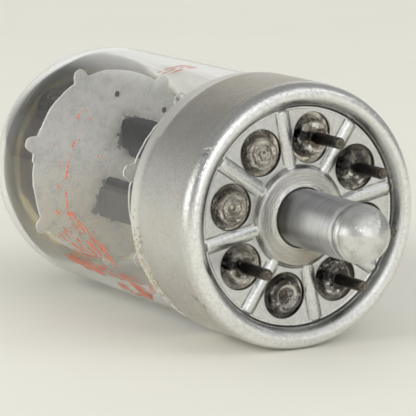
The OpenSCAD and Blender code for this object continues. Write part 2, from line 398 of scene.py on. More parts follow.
def shell_mat():
    m = Mat("shell_satin")
    big = m.noise(0.11, 3, 0.6)
    mid = m.noise(0.9, 4, 0.6)
    fine = m.noise(9.0, 3, 0.7)
    streak = m.noise(1.0, 3, 0.6, vec=m.polar_vec(6.0, 3.0, 9.0))
    c = m.mix(m.remap(big, 0.35, 0.7, 0, 1), (0.80, 0.815, 0.82), (0.75, 0.755, 0.74))
    c = m.mix(m.remap(mid, 0.42, 0.75, 0, 0.35), c, (0.66, 0.65, 0.61))
    c = m.mix(m.math("MULTIPLY", m.attr("sector"), m.remap(m.noise(2.2, 4, 0.65), 0.35, 0.7, 0.0, 0.8)), c, (0.66, 0.665, 0.65))
    r, t, z = m.polar()
    turned_marks = m.noise(1.0, 3, 0.65, vec=m.polar_vec(11.0, 1.6, 5.0))
    c = m.mix(m.attr("hub"), c, m.mix(m.remap(turned_marks, 0.35, 0.65, 0, 1), (0.74, 0.735, 0.71), (0.47, 0.46, 0.43)))
    c = m.mix(m.math("MULTIPLY", m.attr("hub"), m.remap(r, 3.7, 4.0, 0.7, 0.0)), c, (0.86, 0.85, 0.81))
    c = m.mix(m.attr("side"), c, (0.72, 0.72, 0.70))
    c = m.mix(m.attr("polish"), c, (0.93, 0.93, 0.925))
    c = m.mix(m.remap(m.noise(2.6, 5, 0.78), 0.42, 0.68, 0, 0.5), c, (0.46, 0.46, 0.445))
    c = m.mix(m.remap(streak, 0.5, 0.8, 0, 0.5), c, m.mix(m.attr("hub"), c, (0.42, 0.41, 0.38)))
    # painted shade below the plug
    c = m.mix(m.attr("hub_low_shade"), c, (0.41, 0.38, 0.315))
    # painted shade on the flank
    c = m.mix(m.attr("flank_shade"), c, (0.43, 0.39, 0.325))
    spots = m.remap(m.voronoi(1.15, rand=1.0), 0.02, 0.075, 1, 0)
    spots = m.math("MULTIPLY", spots, m.remap(m.noise(0.35, 2), 0.5, 0.62, 0, 1))
    c = m.mix(m.math("MULTIPLY", spots, 0.5), c, (0.30, 0.27, 0.23))
    marks = None
    for p, a, b in ((on_tube(14.38, 56.1, 0.47), 0.18, 0.55), (on_tube(14.3, 54.6, 0.62), 0.1, 0.3), (on_tube(14.65, 123.4, -1.11), 0.12, 0.38),
                    (on_tube(14.65, 122.2, -1.5), 0.08, 0.3), (on_tube(14.64, 127.4, -0.25), 0.1, 0.34), (on_tube(14.62, 126.0, -0.2), 0.08, 0.26)):
        q = m.near(p, a, b)
        marks = q if marks is None else m.math("MAXIMUM", marks, q)
    marks = m.math("MULTIPLY", marks, m.remap(m.noise(5.0, 2), 0.35, 0.6, 0.2, 1))
    c = m.mix(m.math("MULTIPLY", marks, 0.75), c, (0.16, 0.16, 0.17))
    # painted shade: darker in the creases and recesses, at the hub's edge and round the windows
    c = m.mix(m.attr("painted_shade"), c, (0.20, 0.185, 0.165))
    # painted shade: a fine dark line along both edges of every rib
    w = m.node("ShaderNodeMath", operation="WRAP")
    m.link(m.math("ADD", t, math.radians(PIN6 + 22.5)), w.inputs[0])
    w.inputs[1].default_value, w.inputs[2].default_value = math.pi / 8, -math.pi / 8
    side = m.math("ABSOLUTE", m.math("MULTIPLY", r, m.math("SINE", w.outputs[0])))
    off = m.math("ABSOLUTE", m.math("SUBTRACT", side, 0.80))
    line = m.math("MULTIPLY", m.remap(off, 0.03, 0.15, 1, 0), m.remap(m.noise(0.8, 3), 0.35, 0.6, 0.5, 0.95))
    line = m.math("MULTIPLY", line, m.math("MULTIPLY", m.remap(r, 5.9, 6.2, 0, 1), m.remap(r, 11.7, 11.9, 1, 0)))
    line = m.math("MULTIPLY", line, m.remap(z, -0.1, -0.02, 0, 1))
    c = m.mix(line, c, (0.16, 0.155, 0.14))
    ro = m.math("ADD", m.remap(fine, 0.3, 0.7, 0.17, 0.25), m.remap(mid, 0.3, 0.8, -0.02, 0.07))
    ro = m.math("ADD", ro, m.math("MULTIPLY", m.attr("sector"), 0.10))
    ro = m.math("ADD", ro, m.math("MULTIPLY", m.attr("flank_shade"), 0.10))
    ro = m.math("ADD", ro, m.math("MULTIPLY", m.attr("lip"), 0.22))
    ro = m.math("SUBTRACT", ro, m.math("MULTIPLY", m.attr("rim"), 0.115))
    c = m.mix(m.math("MULTIPLY", m.attr("lip"), 0.8), c, (0.93, 0.915, 0.87))
    n = m.bump(fine, 0.6, 0.03)
    n = m.bump(m.noise(3.0, 4, 0.7), 0.4, 0.07, n)
    n = m.bump(m.math("MULTIPLY", m.noise(1.6, 4, 0.7), m.attr("sector")), 0.5, 0.10, n)
    n = m.bump(m.math("MULTIPLY", streak, m.remap(m.attr("hub"), 0, 1, 0.35, 1.2)), 0.6, 0.04, n)
    n = m.bump(m.math("MULTIPLY", turned_marks, m.attr("hub")), 0.8, 0.06, n)
    n = m.bump(m.math("MULTIPLY", marks, -1.0), 0.8, 0.12, n)
    return m.set(c, 1.0, ro, n)


def plug_mat():
    m = Mat("plug_turned")
    streak = m.noise(1.0, 4, 0.7, vec=m.polar_vec(10.0, 1.2, 16.0))
    fine = m.noise(8.0, 3, 0.7)
    blot = m.noise(0.7, 3, 0.6)
    c = m.mix(m.remap(streak, 0.36, 0.64, 0, 1), (0.68, 0.695, 0.71), (0.38, 0.39, 0.40))
    c = m.mix(m.remap(blot, 0.45, 0.75, 0, 0.5), c, (0.60, 0.59, 0.56))
    # painted highlights: a white band along one side of the barrel, whitest on the ridge
    even = m.math("MAXIMUM", m.remap(streak, 0.42, 0.62, 1.0, 0.50), m.attr("ridge_highlight"))
    c = m.mix(m.math("MULTIPLY", m.attr("barrel_highlight"), even), c, (1.0, 1.0, 1.0))
    speck = m.math("MULTIPLY", m.remap(m.voronoi(2.2), 0.03, 0.09, 1, 0), m.remap(m.noise(0.6, 2), 0.48, 0.6, 0, 1))
    c = m.mix(m.math("MULTIPLY", speck, 0.6), c, (0.34, 0.32, 0.28))
    # painted shade: dark in the groove, at the foot and down one side of the barrel
    c = m.mix(m.attr("painted_shade"), c, (0.13, 0.12, 0.11))
    r, t, z = m.polar()
    c = m.mix(m.remap(z, 11.9, 12.4, 0, 1), c, m.mix(m.remap(blot, 0.45, 0.7, 0, 0.6), (0.76, 0.76, 0.75), (0.42, 0.41, 0.385)))
    ro = m.math("ADD", m.remap(streak, 0.3, 0.7, 0.14, 0.22), m.remap(z, 11.9, 12.6, 0.15, 0.07))
    ro = m.math("ADD", ro, m.remap(blot, 0.4, 0.8, 0, 0.06))
    ro = m.math("SUBTRACT", ro, m.math("MULTIPLY", m.attr("ridge_highlight"), 0.10))
    n = m.bump(m.math("MULTIPLY", streak, m.remap(z, 11.9, 12.6, 1.0, 0.25)), 0.9, 0.035)
    n = m.bump(fine, 0.25, 0.02, n)
    tan = m.node("ShaderNodeTangent", direction_type="RADIAL", axis="Y")
    m.link(tan.outputs[0], m.b.inputs["Tangent"])
    return m.set(c, 1.0, ro, n, Anisotropic=1.0, Anisotropic_Rotation=0.25)


def glass_mat():
    m = Mat("bulb_glass")
    return m.set((1.0, 1.0, 0.99), 0.0, 0.0, Transmission_Weight=1.0, IOR=1.46)


def header_mat():
    m = Mat("header_glass")
    n = m.bump(m.noise(1.3, 2, 0.5, distortion=0.6), 0.5, 0.16)
    n = m.bump(m.noise(2.3, 1, 0.5, distortion=0.7), 0.8, 0.10, n)
    c = m.mix(m.remap(m.noise(1.1, 4, 0.7), 0.42, 0.60, 0, 1), (0.86, 0.82, 0.76), (0.42, 0.375, 0.32))
    # painted shade in the glass round the pins and in the bosses
    c = m.mix(m.attr("seal_shade"), c, (0.028, 0.020, 0.014))
    # a bright metallic ring in the open boss, and painted glints
    c = m.mix(m.attr("ring"), c, (0.86, 0.85, 0.82))
    return m.set(c, m.math("MULTIPLY", m.attr("ring"), 0.75), m.remap(m.attr("ring"), 0, 1, 0.02, 0.16), n, Transmission_Weight=1.0, IOR=1.45)


def film_mat():
    m = Mat("getter_film")
    r, t, z = m.polar()
    edge = m.math("ADD", z, m.remap(m.noise(0.16, 3, 0.5), 0.2, 0.8, -1.6, 1.6))
    a = m.remap(edge, -43.0, -45.6, 0.0, 0.94)
    c = m.mix(m.remap(m.noise(0.3, 3), 0.35, 0.7, 0, 1), (0.42, 0.395, 0.27), (0.345, 0.315, 0.195))
    c = m.mix(m.remap(m.noise(0.22, 3, 0.6, distortion=0.8), 0.52, 0.66, 0, 0.70), c, (0.66, 0.59, 0.43))
    return m.set(c, 1.0, m.remap(m.noise(0.5, 3), 0.3, 0.7, 0.05, 0.12), None, a)


def pin_mat():
    m = Mat("pin_oxide")
    r, t, z = m.polar()
    rough = m.noise(2.6, 4, 0.65)
    k = m.math("ADD", z, m.remap(rough, 0.2, 0.8, -1.1, 1.1))
    c = m.mix(m.remap(k, 2.2, 4.6, 0, 1), (0.006, 0.005, 0.005), (0.022, 0.019, 0.016))
    c = m.mix(m.remap(k, 4.6, 5.9, 0, 1), c, (0.20, 0.18, 0.15))
    c = m.mix(m.remap(m.noise(6.0, 3), 0.56, 0.72, 0, 0.5), c, (0.26, 0.21, 0.15))
    n = m.bump(m.noise(5.0, 4, 0.7), 0.7, 0.08)
    return m.set(c, 1.0, m.remap(k, 1.5, 5.5, 0.45, 0.24), n)


def mica_mat(name, frosted):
    m = Mat(name)
    a = m.noise(0.5, 4, 0.6)
    b = m.noise(3.5, 4, 0.7)
    if frosted:
        c = m.mix(m.remap(a, 0.3, 0.7, 0, 1), (0.99, 0.985, 0.96), (0.93, 0.92, 0.89))
        c = m.mix(m.remap(b, 0.5, 0.8, 0, 0.35), c, (0.76, 0.75, 0.72))
        sp = m.node("ShaderNodeSeparateXYZ")
        m.link(m.mm(), sp.inputs[0])
        # painted reflection: the lower part of the frosted mica beige, as if reflecting the floor
        c = m.mix(m.remap(m.math("ADD", sp.outputs[2], m.remap(a, 0.2, 0.8, -3, 3)), 17, 9, 0, 1), c, (0.93, 0.84, 0.665))
        c = m.mix(m.remap(m.noise(0.8, 5, 0.8, distortion=0.6), 0.46, 0.66, 0, 0.9), c, (0.70, 0.69, 0.67))
        c = m.mix(m.remap(m.noise(2.4, 4, 0.8), 0.52, 0.64, 0, 0.8), c, (1.0, 1.0, 0.99))
        r, t, z = m.polar()
        x = m.math("SUBTRACT", m.math("MULTIPLY", r, m.math("COSINE", t)), AX)
        y = m.math("SUBTRACT", m.math("MULTIPLY", r, m.math("SINE", t)), AY)
        u = m.math("ADD", m.math("MULTIPLY", x, math.cos(TURN)), m.math("MULTIPLY", y, math.sin(TURN)))
        v = m.math("SUBTRACT", m.math("MULTIPLY", y, math.cos(TURN)), m.math("MULTIPLY", x, math.sin(TURN)))
        # painted shade on the mica round the plates' feet: black at the edge of the footprint, a grey halo beyond
        du = m.math("SUBTRACT", m.math("ABSOLUTE", m.math("SUBTRACT", m.math("ABSOLUTE", u), PX)), 1.80)
        dv = m.math("SUBTRACT", m.math("ABSOLUTE", v), 1.52)
        foot = m.math("ADD", m.math("MAXIMUM", du, dv), m.remap(m.noise(0.9, 4, 0.75), 0.3, 0.7, 0.75, -0.75))
        c = m.mix(m.remap(foot, 0.0, 0.25, 0.96, 0.0), c, (0.035, 0.035, 0.034))
        c = m.mix(m.remap(foot, 0.2, 1.8, 0.38, 0.0), c, (0.38, 0.37, 0.35))
        c = m.mix(m.attr("edge"), c, (0.95, 0.95, 0.93))
        n = m.bump(b, 0.2, 0.03)
        return m.set(c, 0.0, m.remap(b, 0.3, 0.7, 0.3, 0.5), n, m.remap(m.attr("edge"), 0, 1, 0.96, 1.0))
    c = m.mix(m.attr("edge"), (0.62, 0.60, 0.55), (0.92, 0.92, 0.90))
    al = m.math("MAXIMUM", m.remap(a, 0.3, 0.7, 0.02, 0.05), m.math("MULTIPLY", m.attr("edge"), 0.95))
    return m.set(c, 0.0, 0.25, m.bump(b, 0.1, 0.03), al)


def plate_mat(name, dark, light):
    """grey and worn on the outside, black along the seam"""
    m = Mat(name)
    a = m.noise(1.3, 4, 0.65)
    b = m.noise(8.0, 3, 0.7)
    c = m.mix(m.remap(a, 0.35, 0.7, 0, 1), dark, light)
    c = m.mix(m.remap(b, 0.6, 0.8, 0, 0.5), c, tuple(min(1, 2.2 * x + 0.02) for x in light))
    c = m.mix(m.remap(m.math("ADD", m.attr("inward"), m.remap(m.noise(2.5, 4, 0.7), 0.3, 0.7, -0.25, 0.25)), 0.35, 0.55, 0, 1), c, (0.008, 0.008, 0.008))
    return m.set(c, 0.0, m.remap(a, 0.3, 0.7, 0.45, 0.65), m.bump(b, 0.3, 0.03), Specular_IOR_Level=0.15)


def wire_mat(name="nickel_wire", base=(0.56, 0.54, 0.50)):
    m = Mat(name)
    a = m.noise(1.4, 4, 0.6)
    c = m.mix(m.remap(a, 0.4, 0.7, 0, 1), base, tuple(x * 0.6 for x in base))
    return m.set(c, 1.0, m.remap(a, 0.3, 0.7, 0.26, 0.42), m.bump(m.noise(9, 3), 0.2, 0.01))


def coated_mat(name, base):
    m = Mat(name)
    b = m.noise(6.0, 4, 0.7)
    c = m.mix(m.remap(m.noise(0.9, 3), 0.4, 0.7, 0, 0.6), base, tuple(x * 0.72 for x in base))
    return m.set(c, 0.0, 0.8, m.bump(b, 0.5, 0.04))


def cement_mat():
    m = Mat("cement")
    b = m.noise(3.5, 4, 0.7)
    c = m.mix(m.remap(b, 0.35, 0.65, 0, 1), (0.62, 0.58, 0.47), (0.36, 0.32, 0.24))
    return m.set(c, 0.0, 0.85, m.bump(b, 0.6, 0.08))


def red_mat():
    m = Mat("worn_red")
    b = m.noise(4.0, 3, 0.6)
    c = m.mix(m.remap(b, 0.35, 0.7, 0, 1), (0.52, 0.085, 0.03), (0.60, 0.23, 0.15))
    return m.set(c, 0.0, 0.6, m.bump(b, 0.3, 0.02))


def getter_mat():
    m = Mat("getter_strip")
    a = m.noise(1.5, 4, 0.6)
    c = m.mix(m.remap(a, 0.35, 0.7, 0, 1), (0.20, 0.18, 0.16), (0.09, 0.085, 0.08))
    return m.set(c, 1.0, m.remap(a, 0.3, 0.7, 0.35, 0.6), m.bump(a, 0.3, 0.04))


# ---------------------------------------------------------------- base shell
RIB_A = [-(PIN6 + 22.5 + 45 * k) for k in range(8)]


def rib_height(x, y):
    out = np.full(len(x), -9.0)
    r, t = np.hypot(x, y), np.arctan2(y, x)
    for a in RIB_A:
        d = t - math.radians(a)
        d = (d + math.pi) % (2 * math.pi) - math.pi
        s = r * np.sin(d)
        h = np.where(np.abs(s) < 0.79, np.sqrt(np.clip(0.795 ** 2 - s * s, 0, None)) - 0.395, -0.5)
        h = h - 0.42 * np.clip((r - 11.55) / 0.5, 0, 2) ** 3
        out = np.maximum(out, np.where(np.cos(d) > 0, h, -9.0))
    return out


def shell_object():
    n = 432
    t = math.radians(RIB_A[0]) + np.arange(n) * 2 * math.pi / n
    ct, st = np.cos(t), np.sin(t)
    hub = spline([(3.24, 0.55), (3.245, 0.78), (3.30, 0.90), (3.42, 0.94), (3.56, 0.88), (3.72, 0.77), (4.0, 0.69), (4.5, 0.635), (4.95, 0.615),
                  (5.18, 0.57), (5.36, 0.44), (5.50, 0.22), (5.60, 0.04), (5.72, -0.02), (5.9, 0.0)], 0.07)
    rings = []
    prof = [tuple(p) for p in hub]
    prof += [(r, 0.0) for r in np.arange(6.0, 11.66, 0.125)]
    prof += [(11.72, 0.0), (11.76, 0.015), (11.80, 0.055), (11.85, 0.07), (11.95, 0.07), (11.99, 0.05), (12.02, -0.04), (12.06, -0.10), (12.10, -0.07)]
    prof += arc(13.42, 0.04, 1.29, 1.22, 180, 90, 14)
    prof += arc(13.42, -0.44, 1.23, 1.70, 90, 0, 24)[1:]
    prof += [(14.65, z) for z in (-1.2, -2.2, -3.4, -4.6, -5.8, -7.0, -8.0)]
    lip0 = len(prof)
    prof += [(14.655, -8.75), (14.64, -9.0), (14.60, -9.12), (14.50, -10.3), (14.42, -11.3), (14.38, -11.46), (14.30, -11.5), (14.12, -11.5), (14.06, -11.44),
             (14.06, -11.2), (14.16, -9.2), (14.2, -8.8)]
    prof += [(14.2, -6.0), (14.2, -3.0)]
    prof += arc(13.42, -0.44, 0.78, 1.25, 0, 90, 10)
    prof += arc(13.42, -0.30, 0.87, 1.10, 90, 180, 6)[1:]
    prof += [(12.4, -0.42), (11.5, -0.45), (9.0, -0.45), (7.0, -0.45), (5.7, -0.45), (5.2, -0.3), (4.9, 0.05), (4.6, 0.25), (4.3, 0.3), (3.24, 0.3)]
    tags = []
    for i, (r, z) in enumerate(prof):
        x, y = r * ct, r * st
        zz = np.full(n, z)
        if r < 12.75 and z > -0.3 and i < lip0:
            zz = smax(zz, rib_height(x, y), 0.30 if r < 5.9 else 0.10)
            # the hub swells a little towards each rib
        if z < -8.6 and z > -9.3 and r > 14.5:      # the lip starts on a slightly slanted line
            zz = zz - 0.55 * (1 - np.cos(t - math.radians(75))) * 0.5 - 0.05 * np.sin(3 * t)
        wob = 0.022 * np.sin(2 * t + 0.4) * sstep(12.6, 14.4, r) if z < 1.2 else 0
        rr = r + wob + 0
        rings.append(np.stack([rr * ct, rr * st, zz], 1))
        tags.append(z)
    vf = rings_mesh(rings, closed=True)
    ob = raw("shell", vf)
    edge = [(2.5, -2.0), (2.5, -0.16), (2.512, -0.09), (2.545, -0.035), (2.60, -0.004), (2.66, 0.006), (2.66, 1.6)]
    cutters = []
    for k in range(8):
        if k == 0:
            v, f = solid([(r - 0.25, z) for r, z in edge], 64, stretch=0.525)
            v = np.array(v) + [RP - 0.1, 0.17, 0]
        else:
            v, f = solid(edge, 64)
            v = np.array(v) + [RP, 0, 0]
        cutters.append((turned(v, pin_angle(k)), f))
    tidy(boolean(ob, raw("cut", join(*cutters)), "DIFFERENCE"))
    v = verts_of(ob)
    r, z = np.hypot(v[:, 0], v[:, 1]), v[:, 2]
    # the small dent on the shoulder
    for p, d, w in ((on_tube(14.38, 56.1, 0.47), 0.05, 0.5), (on_tube(14.65, 123.4, -1.1), 0.03, 0.4)):
        dd = np.linalg.norm(v - np.array(p), axis=1)
        k = d * np.exp(-(dd / w) ** 2)
        v[:, 0] -= k * v[:, 0] / r
        v[:, 1] -= k * v[:, 1] / r
    ob.data.vertices.foreach_set("co", v.ravel())
    # painted shade: the flank darker and browner towards the top, and darker in the corners, creases and recesses
    ang = np.degrees(np.arctan2(v[:, 1], v[:, 0]))
    side = sstep(14.3, 14.62, r) * (z < -0.3) * (r < 14.7)
    top = np.exp(-((ang - 5) / 42.0) ** 2)
    # painted shade: darker and browner towards the top of the flank and low on one side near 140°
    flank_shade = side * (0.10 + 0.80 * top + 0.30 * np.exp(-((ang - 140) / 30.0) ** 2)) + 0.12 * fbm(v * 0.35, 3, 5) * side
    flank_shade = np.where((z < -9.0) & (r > 14.2), 0.0, flank_shade)
    attribute(ob, "flank_shade", np.clip(flank_shade, 0, 1))
    attribute(ob, "sector", sstep(5.3, 5.9, r) * (1 - sstep(11.6, 11.9, r)) * sstep(-0.35, -0.2, z) * (1 - sstep(0.05, 0.35, z)))
    attribute(ob, "hub", (1 - sstep(5.2, 5.6, r)) * (z > 0.25))
    # painted shade: the hub browner and darker on its lower side, below the plug
    low = np.exp(-((((ang - 205) + 180) % 360 - 180) / 60.0) ** 2)
    attribute(ob, "hub_low_shade", np.clip((1 - sstep(5.0, 5.7, r)) * (z > 0.1) * low * (0.85 + 0.4 * value_noise(v * 0.8, 3)), 0, 1))
    attribute(ob, "side", sstep(14.15, 14.6, r) * (z < 0.6) * (z > -9.15))
    attribute(ob, "polish", sstep(12.9, 13.3, r) * (1 - sstep(14.1, 14.5, r)) * sstep(0.2, 0.6, z))
    attribute(ob, "rim", sstep(12.5, 12.9, r) * sstep(-0.9, -0.3, z))
    attribute(ob, "lip", ((z < -9.15) & (r > 14.25)) * 1.0)
    # painted shade: the floor's edge crease, the rim's inner flank, the plug's foot, the hub's edge, the window edges
    # and the inside
    crease = np.exp(-((r - 12.07) / 0.06) ** 2) * (z < 0.15)
    flank = (1 - sstep(12.3, 13.35, r)) * sstep(12.05, 12.2, r) * (z > 0) * 0.42
    foot = np.exp(-((r - 3.25) / 0.12) ** 2)
    hubline = np.exp(-((r - 5.64) / 0.10) ** 2) * (z < 0.2) * 2.0
    inner = ((z < -0.02) & (r < 13.9)) * 1.0
    under = np.zeros(len(v))
    for k in range(8):
        c = np.array([RP * math.cos(pin_angle(k)), RP * math.sin(pin_angle(k))])
        d = np.linalg.norm(v[:, :2] - c, axis=1)
        under = np.maximum(under, np.exp(-((d - 2.5) / 0.10) ** 2) * 0.35 * (z < 0.05))
    attribute(ob, "painted_shade", np.clip(0.55 * crease + 0.7 * foot + 0.5 * hubline + 0.6 * inner + under + flank, 0, 0.9))
    return ob


settle(shell_object(), shell_mat(), ["base_shell"], 50)

# ---------------------------------------------------------------- locating plug
prof = [(2.65, -0.15), (4.3, -0.15), (4.3, 0.26), (3.19, 0.28), (3.175, 0.34)]
prof += [(3.175, z) for z in np.linspace(0.7, 10.75, 26)]
prof += [(3.172, 10.88), (3.14, 10.98), (3.05, 11.06), (2.93, 11.14), (2.87, 11.24), (2.89, 11.33), (3.00, 11.41), (3.12, 11.48), (3.18, 11.58), (3.195, 11.75), (3.19, 12.0),
         (3.165, 12.22), (3.11, 12.34), (3.06, 12.42), (3.09, 12.50)]
prof += [p for p in arc(0, 12.0, 3.165, 3.15, 0, 90, 30) if p[1] > 12.55]
prof[-1] = (0.0, 15.15)
inner = [(0.0, 14.65)] + [p for p in arc(0, 12.0, 2.65, 2.65, 90, 0, 12)][1:]
rings_v, rings_f = lathe(prof + inner, 160)
v = np.array(rings_v)
k = [i for i in range(len(v)) if math.hypot(v[i, 0], v[i, 1]) > 1e-6]
plug = raw("plug", (v, [q for q in rings_f]))
kv, kf = rings_mesh([np.array([[x, y, z] for x, y in ((2.8, -0.85), (4.02, -0.85), (4.15, -0.72), (4.15, 0.72), (4.02, 0.85), (2.8, 0.85))])
                     for z in (1.0, 1.12, 10.4, 10.7)], closed=False)
kv = np.array(kv)
kv[:6, 0] = np.minimum(kv[:6, 0], 4.0)
kv[-6:, 0] = np.minimum(kv[-6:, 0], 3.9)
kf += [list(range(6)), list(range(len(kv) - 1, len(kv) - 7, -1))]
boolean(plug, raw("key", (turned(kv, math.radians(-(PIN6 + 112.5))), kf)), "UNION")
v = verts_of(plug)
r, z = np.hypot(v[:, 0], v[:, 1]), v[:, 2]
ang = (np.degrees(np.arctan2(v[:, 1], v[:, 0])) - 78 + 180) % 360 - 180
# painted highlights: a bright band along one side of the barrel, a bright arc at z 10.8, and the ridge before the dome
# made bright and smoother
attribute(plug, "barrel_highlight", np.clip(np.exp(-(ang / 23.0) ** 4) * sstep(2.5, 8.0, z) * (z < 12.35)
                                + 0.95 * np.exp(-((z - 10.78) / 0.24) ** 2) * np.exp(-((ang + 18) / 42.0) ** 4), 0, 1))
attribute(plug, "ridge_highlight", sstep(11.4, 11.5, z) * (1 - sstep(12.2, 12.35, z)) + np.exp(-((z - 10.78) / 0.24) ** 2))
# painted shade: dark in the groove, at the line before the dome, at the foot, and on one side of the barrel near the
# hub and along it
attribute(plug, "painted_shade", np.clip(0.9 * np.exp(-((z - 11.24) / 0.17) ** 2) * (r > 2.8) + 0.9 * np.exp(-((z - 12.43) / 0.09) ** 2) * (r > 2.9)
                                 + 0.8 * np.exp(-((z - 0.75) / 0.28) ** 2)
                                 + 0.90 * np.exp(-((z - 1.6) / 1.0) ** 2) * np.exp(-((ang + 2) / 46.0) ** 4)
                                 + 0.42 * np.exp(-((z - 3.0) / 2.6) ** 4) * np.exp(-((ang - 8) / 40.0) ** 4)
                                 + 0.42 * np.exp(-((z - 6.5) / 2.8) ** 4) * np.exp(-((ang - 62) / 24.0) ** 4), 0, 0.9))
settle(plug, plug_mat(), ["locating_plug"], 42)

# ---------------------------------------------------------------- glass header with its bosses
hd_hi, hd_lo = -1.0, -3.4
header = raw("header", solid([(14.0, hd_lo), (14.0, hd_hi - 0.15), (13.85, hd_hi)], 128))
boss_pin = [(2.5, -1.6), (2.42, -1.2), (2.25, -0.8), (2.05, -0.35), (1.92, 0.05), (1.80, 0.35), (1.62, 0.56), (1.36, 0.69), (1.08, 0.68), (0.86, 0.60), (0.66, 0.66), (0.4, 0.7)]
boss_blank = [(2.5, -1.6), (2.42, -1.2), (2.2, -0.75), (2.0, -0.3), (1.88, 0.1), (1.76, 0.42), (1.60, 0.60), (1.42, 0.62), (1.25, 0.50), (1.12, 0.44), (0.98, 0.50), (0.86, 0.64),
              (0.72, 0.68), (0.58, 0.58), (0.45, 0.46), (0.33, 0.44), (0.2, 0.52), (0.08, 0.56)]
boss_open = [(2.5, -1.6), (2.42, -1.2), (2.2, -0.75), (2.02, -0.3), (1.92, 0.1), (1.80, 0.46), (1.62, 0.70), (1.40, 0.76), (1.18, 0.66), (0.98, 0.42), (0.82, 0.08), (0.66, -0.25),
             (0.45, -0.45), (0.2, -0.52)]
parts = []
for k in range(8):
    bp = boss_open if k == 4 else boss_blank if k in BLANKS else boss_pin
    pts = spline([(r, z) for r, z in bp], 0.09)
    pts = [(2.5, -1.9)] + [tuple(p) for p in pts] + [(0.0, float(pts[-1][1]))]
    bv, bf = solid(pts, 72)
    bv = np.array(bv)
    a = np.arctan2(bv[:, 1], bv[:, 0])
    rr = np.hypot(bv[:, 0], bv[:, 1])
    w = 1 + 0.03 * np.sin(2 * a + k) + 0.02 * np.sin(3 * a + 2.1 * k)       # hand-pressed, not quite round
    bv[:, 0] *= w
    bv[:, 1] *= w
    bv[:, 2] += np.where(bv[:, 2] > -1.2, 0.05 * np.sin(a + 1.7 * k) * rr / 2, 0)
    wave = fbm(bv * [1.5, 1.5, 0.8] + 9.1 * k, 3, 80 + k) * (bv[:, 2] > -1.25) * sstep(0.05, 0.4, rr) * (1 - sstep(2.1, 2.4, rr))
    amount = 0.033 if k in BLANKS else 0.06
    bv[:, 2] += wave * amount
    bv[:, 0] += wave * amount * np.cos(a)
    bv[:, 1] += wave * amount * np.sin(a)
    parts.append((turned(bv + [RP, 0, 0], pin_angle(k)), bf))
boolean(header, raw("bosses", join(*parts)), "UNION")
tipv, tipf = solid([(2.1, -1.3), (2.1, 4.8), (1.6, 6.2), (0.9, 7.6), (0.72, 7.9), (0.5, 8.3), (0.2, 8.48)], 48)
tidy(boolean(header, raw("tip", (tipv, tipf)), "UNION"))
v = verts_of(header)
# painted shade in the glass: dark round the pins, where the dark pins show through, and a dark annulus and hole in the
# open boss
seal_shade = np.zeros(len(v))
for k in PINS.values():
    c = np.array([RP * math.cos(pin_angle(k)), RP * math.sin(pin_angle(k))])
    d = np.linalg.norm(v[:, :2] - c, axis=1) + 0.55 * fbm(v * 1.1, 3, 40 + k)
    seal_shade = np.maximum(seal_shade, 1 - sstep(1.0, 1.75, d))
c = np.array([RP * math.cos(pin_angle(4)), RP * math.sin(pin_angle(4))])
d = np.linalg.norm(v[:, :2] - c, axis=1)
seal_shade = np.maximum(seal_shade, np.maximum(1 - sstep(0.56, 0.72, d), sstep(1.22, 1.42, d) * (1 - sstep(2.4, 2.6, d)) * 0.97) * (v[:, 2] > -1.6))
ring = sstep(0.66, 0.80, d) * (1 - sstep(1.12, 1.30, d)) * (v[:, 2] > -0.6)
# painted glints in the glass, as bright metallic flecks: along the lower edge of the blank bosses, scattered round the
# pins
for k in (6, 7, 4, 0, 1, 2, 3, 5):
    c = np.array([RP * math.cos(pin_angle(k)), RP * math.sin(pin_angle(k))])
    e = v[:, :2] - c
    d = np.linalg.norm(e, axis=1)
    a = np.arctan2(e[:, 1], e[:, 0])
    if k in BLANKS:
        fleck = np.exp(-((d - 1.93) / 0.19) ** 2) * sstep(-0.1, 0.5, np.cos(a - math.radians(126))) * sstep(-0.3, 0.1, value_noise(v * 1.9, 90 + k))
        fleck = np.maximum(fleck, sstep(0.42, 0.6, value_noise(v * 2.6, 95 + k)) * (d > (1.3 if k == 4 else 0.4)) * (d < 2.2) * 0.7)
    else:
        fleck = sstep(0.34, 0.5, value_noise(v * 2.1, 97 + k)) * sstep(0.85, 1.05, d) * (1 - sstep(2.2, 2.35, d))
    ring = np.maximum(ring, fleck * (v[:, 2] > -1.3))
attribute(header, "ring", ring)
# painted shade: a darker ring in the two blank bosses
for k in (6, 7):
    c = np.array([RP * math.cos(pin_angle(k)), RP * math.sin(pin_angle(k))])
    d = np.linalg.norm(v[:, :2] - c, axis=1) + 0.18 * value_noise(v * 1.7, 60 + k)
    seal_shade = np.maximum(seal_shade, sstep(1.35, 1.75, d) * (1 - sstep(2.5, 2.7, d)) * 0.45 * (0.75 + 0.35 * value_noise(v * 1.1, 70 + k)))
attribute(header, "seal_shade", np.clip(seal_shade, 0, 1))
settle(header, header_mat(), ["glass_header"], 60)

# ---------------------------------------------------------------- pins
for name, k in PINS.items():
    p = [(0.45, -5.6), (0.45, 0.55), (0.46, 0.62), (0.60, 0.70), (0.635, 0.76)]
    p += [(0.635, z) for z in np.linspace(1.0, 5.1, 22)]
    p += [(0.63, 5.22), (0.60, 5.36), (0.54, 5.46), (0.46, 5.51), (0.36, 5.52), (0.28, 5.49), (0.20, 5.42), (0.08, 5.38)]
    pv, pf = solid(p, 40)
    pv = np.array(pv)
    nz = fbm(pv * 1.7 + k * 11, 3, 21 + k)
    root = np.exp(-((pv[:, 2] - 1.6) / 1.1) ** 2)
    s = 1 + np.where(pv[:, 2] > 0.8, 0.012 * nz + 0.03 * root * nz, 0)
    s = np.minimum(s, 1.02)
    pv[:, 0] *= s
    pv[:, 1] *= s
    piece(name + "_oxidised", (turned(pv + [RP, 0, 0], pin_angle(k)), pf), pin_mat(), [name], 45)

# ---------------------------------------------------------------- glass bulb and its getter film
RB, RI, ZD = 14.0, 13.3, -40.8


